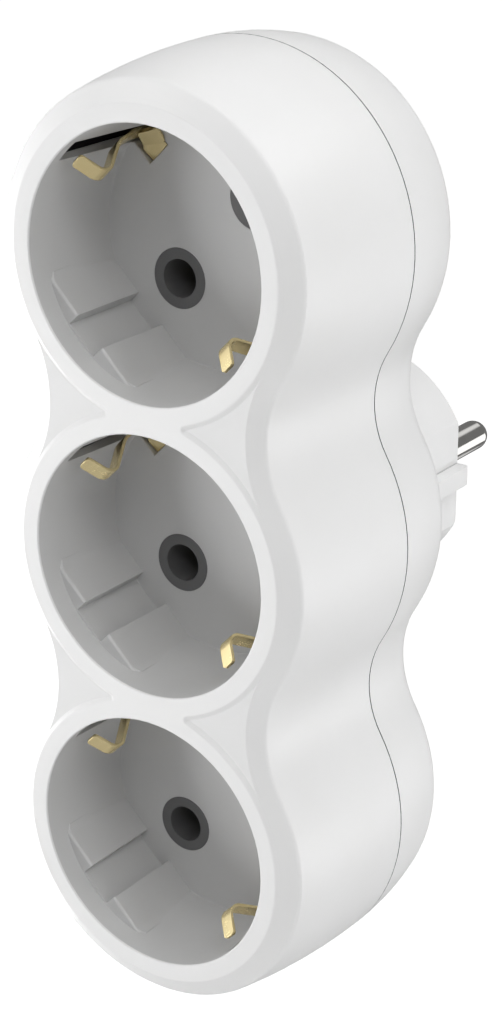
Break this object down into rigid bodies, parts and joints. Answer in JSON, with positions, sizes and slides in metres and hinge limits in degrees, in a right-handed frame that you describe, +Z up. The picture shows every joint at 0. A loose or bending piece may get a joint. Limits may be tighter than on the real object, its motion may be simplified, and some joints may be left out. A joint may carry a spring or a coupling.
{
  "type": "multi socket adapter",
  "caption": "Row of earthed round sockets in a lobed white housing, with a round pin plug on its back that goes straight into a wall socket.",
  "frame": {"origin": "middle of the plug's face, between its two pins", "axes": "+Y along the plug's pins towards the wall, +Z up along the row of sockets, +X to the right seen from the front"},
  "size_m": [0.0556, 0.0786, 0.1438],
  "materials": {
    "cover_white": "satin white moulding",
    "well_grey": "grey moulding, slightly satin",
    "carrier_dark": "dark grey moulding",
    "block_plastic": "plain grey moulding",
    "brass": "bright rolled sheet",
    "nickel": "polished nickel plating",
    "screw_steel": "zinc plated"
  },
  "bodies": {
    "root": {"front_cover": "cover_white", "back_cover": "cover_white", "plug_shell": "cover_white", "socket_insert_top": "well_grey", "contact_carrier_top": "carrier_dark", "earth_bracket_top": "brass", "line_contact_top": "brass", "neutral_contact_top": "brass", "earth_rivet_top": "brass", "socket_insert_middle": "well_grey", "contact_carrier_middle": "carrier_dark", "earth_bracket_middle": "brass", "line_contact_middle": "brass", "neutral_contact_middle": "brass", "earth_rivet_middle": "brass", "socket_insert_bottom": "well_grey", "contact_carrier_bottom": "carrier_dark", "earth_bracket_bottom": "brass", "line_contact_bottom": "brass", "neutral_contact_bottom": "brass", "earth_rivet_bottom": "brass", "line_rail": "brass", "neutral_rail": "brass", "earth_rail": "brass", "plug_earth_bracket": "brass", "line_pin": "nickel", "neutral_pin": "nickel", "pin_block": "block_plastic", "cover_screw_upper_right": "screw_steel", "cover_screw_upper_left": "screw_steel", "cover_screw_lower_right": "screw_steel", "cover_screw_lower_left": "screw_steel"}
  },
  "joints": []
}
